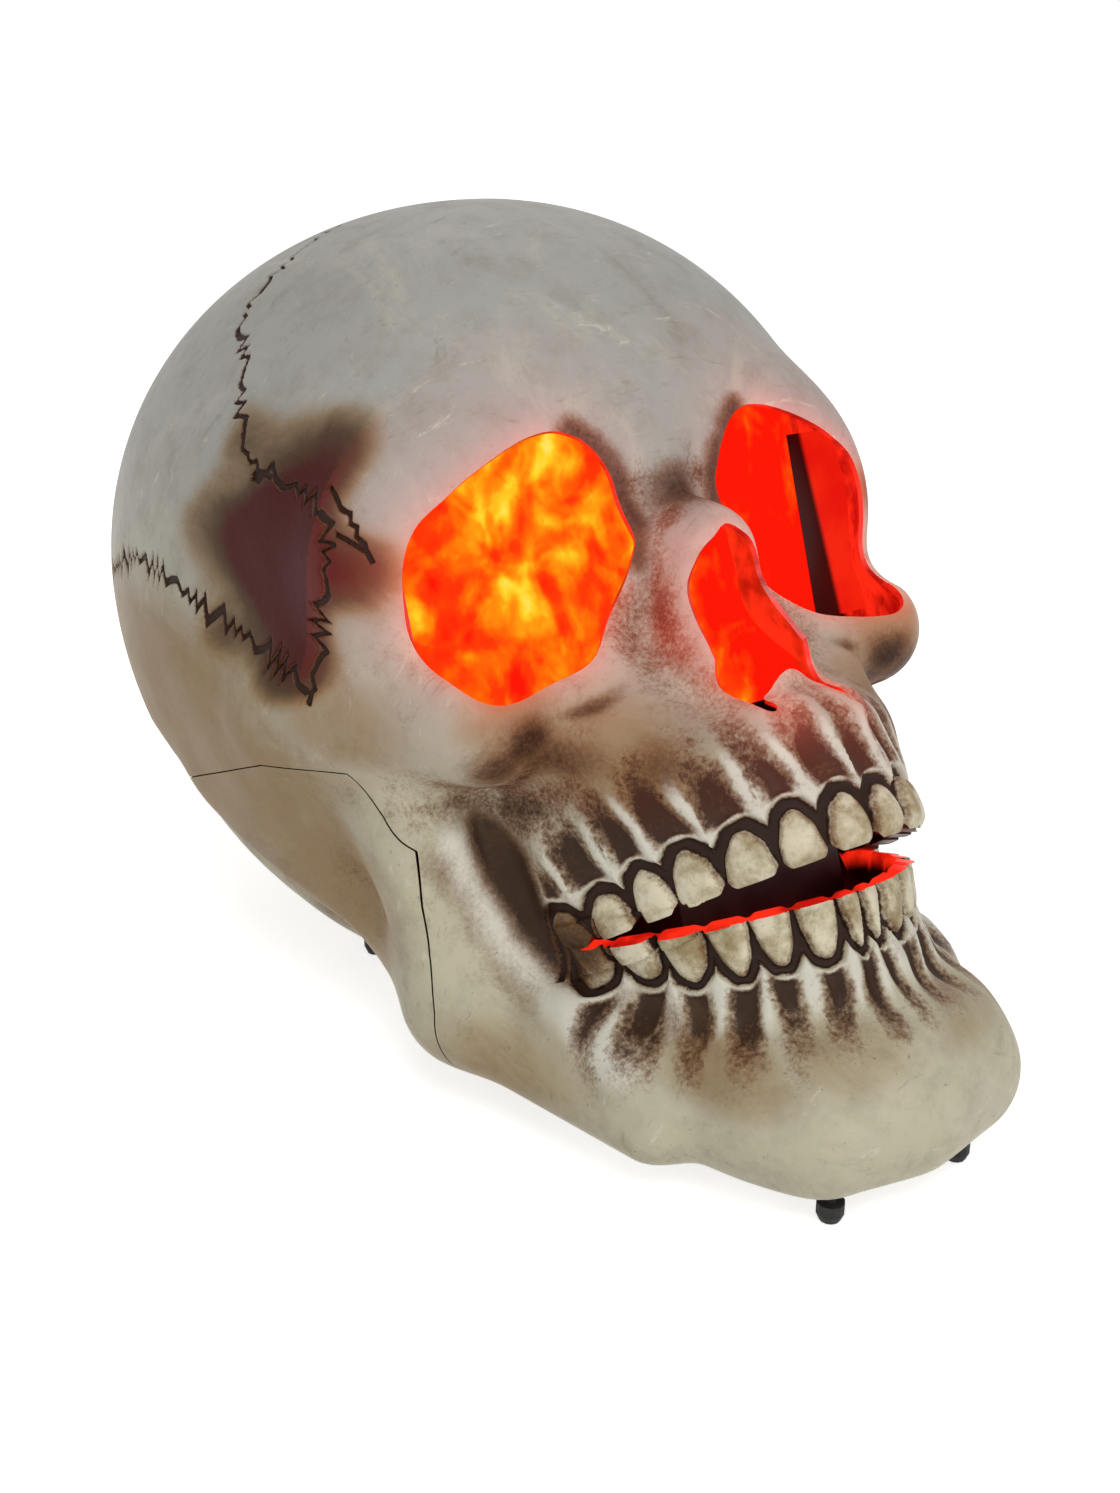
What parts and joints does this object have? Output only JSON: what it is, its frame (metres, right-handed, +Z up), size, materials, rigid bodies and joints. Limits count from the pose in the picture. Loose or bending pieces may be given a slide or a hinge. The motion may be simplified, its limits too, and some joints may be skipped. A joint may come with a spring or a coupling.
{
  "type": "light-up skull decoration",
  "caption": "Hollow translucent skull leaning back on rubber feet; a motor-driven projector in its jaw throws moving flames onto a curved screen behind the open eyes, nose and mouth.",
  "frame": {"origin": "on the floor, below the middle of the skull's length and width", "axes": "+Z up, -Y out of the face, +X towards the skull's left"},
  "size_m": [0.3538, 0.5528, 0.3796],
  "materials": {
    "bone_plastic": "hand-painted, translucent, satin",
    "flame_film": "translucent picture film, lit from inside",
    "black_plastic": "fine matt texture",
    "rubber": "matt",
    "steel": "bright zinc",
    "lens": "clear moulded",
    "circuit_board": "solder mask",
    "lamp_dome": "clear dome over a warm emitter",
    "alloy": "extruded, raw",
    "cell_jacket": "plain shrink film",
    "contact_metal": "stamped",
    "white_nylon": "moulded",
    "wheel_film": "tinted translucent"
  },
  "bodies": {
    "skull": {"face_shell": "bone_plastic", "base_shell": "bone_plastic", "front_foot_right": "rubber", "front_foot_left": "rubber", "rear_foot_right": "rubber", "rear_foot_left": "rubber", "shell_screw_1": "steel", "shell_screw_2": "steel", "shell_screw_3": "steel", "shell_screw_4": "steel", "flame_screen": "flame_film", "screen_rail_right": "black_plastic", "screen_rail_left": "black_plastic", "projector_box": "black_plastic", "projector_lid": "black_plastic", "projector_stand": "black_plastic", "projector_lens": "lens", "heat_sink": "alloy", "lamp_board": "circuit_board", "flame_lamp": "lamp_dome", "drive_motor": "steel", "wheel_axle": "steel", "cell_tray": "black_plastic", "cell_1": "cell_jacket", "cell_2": "cell_jacket", "cell_3": "cell_jacket", "cell_4": "cell_jacket", "contact_front": "contact_metal", "contact_rear": "contact_metal", "switch_body": "black_plastic", "control_board": "circuit_board"},
    "wheel": {"flame_wheel": "wheel_film"},
    "pinion": {"motor_pinion": "white_nylon"},
    "door": {"battery_door": "bone_plastic"},
    "switch": {"switch_knob": "black_plastic"}
  },
  "joints": [
    {"name": "wheel_spin", "type": "hinge", "parent": "skull", "child": "wheel", "pos_m": [-0.01, -0.12416, 0.08417], "axis": [0, 0.342, 0.9397], "continuous": true},
    {"name": "pinion_spin", "type": "hinge", "parent": "skull", "child": "pinion", "pos_m": [0.02425, -0.12416, 0.08417], "axis": [0, 0.342, 0.9397], "continuous": true},
    {"name": "door_hinge", "type": "hinge", "parent": "skull", "child": "door", "pos_m": [0, 0.09334, 0.0112], "axis": [1, 0, 0], "range_deg": [0, 95]},
    {"name": "power_switch", "type": "slide", "parent": "skull", "child": "switch", "axis": [0, 1, 0], "range_m": [0, 0.005]}
  ],
  "couplings": [
    {"joint": "pinion_spin", "follows": "wheel_spin", "ratio": -4}
  ]
}
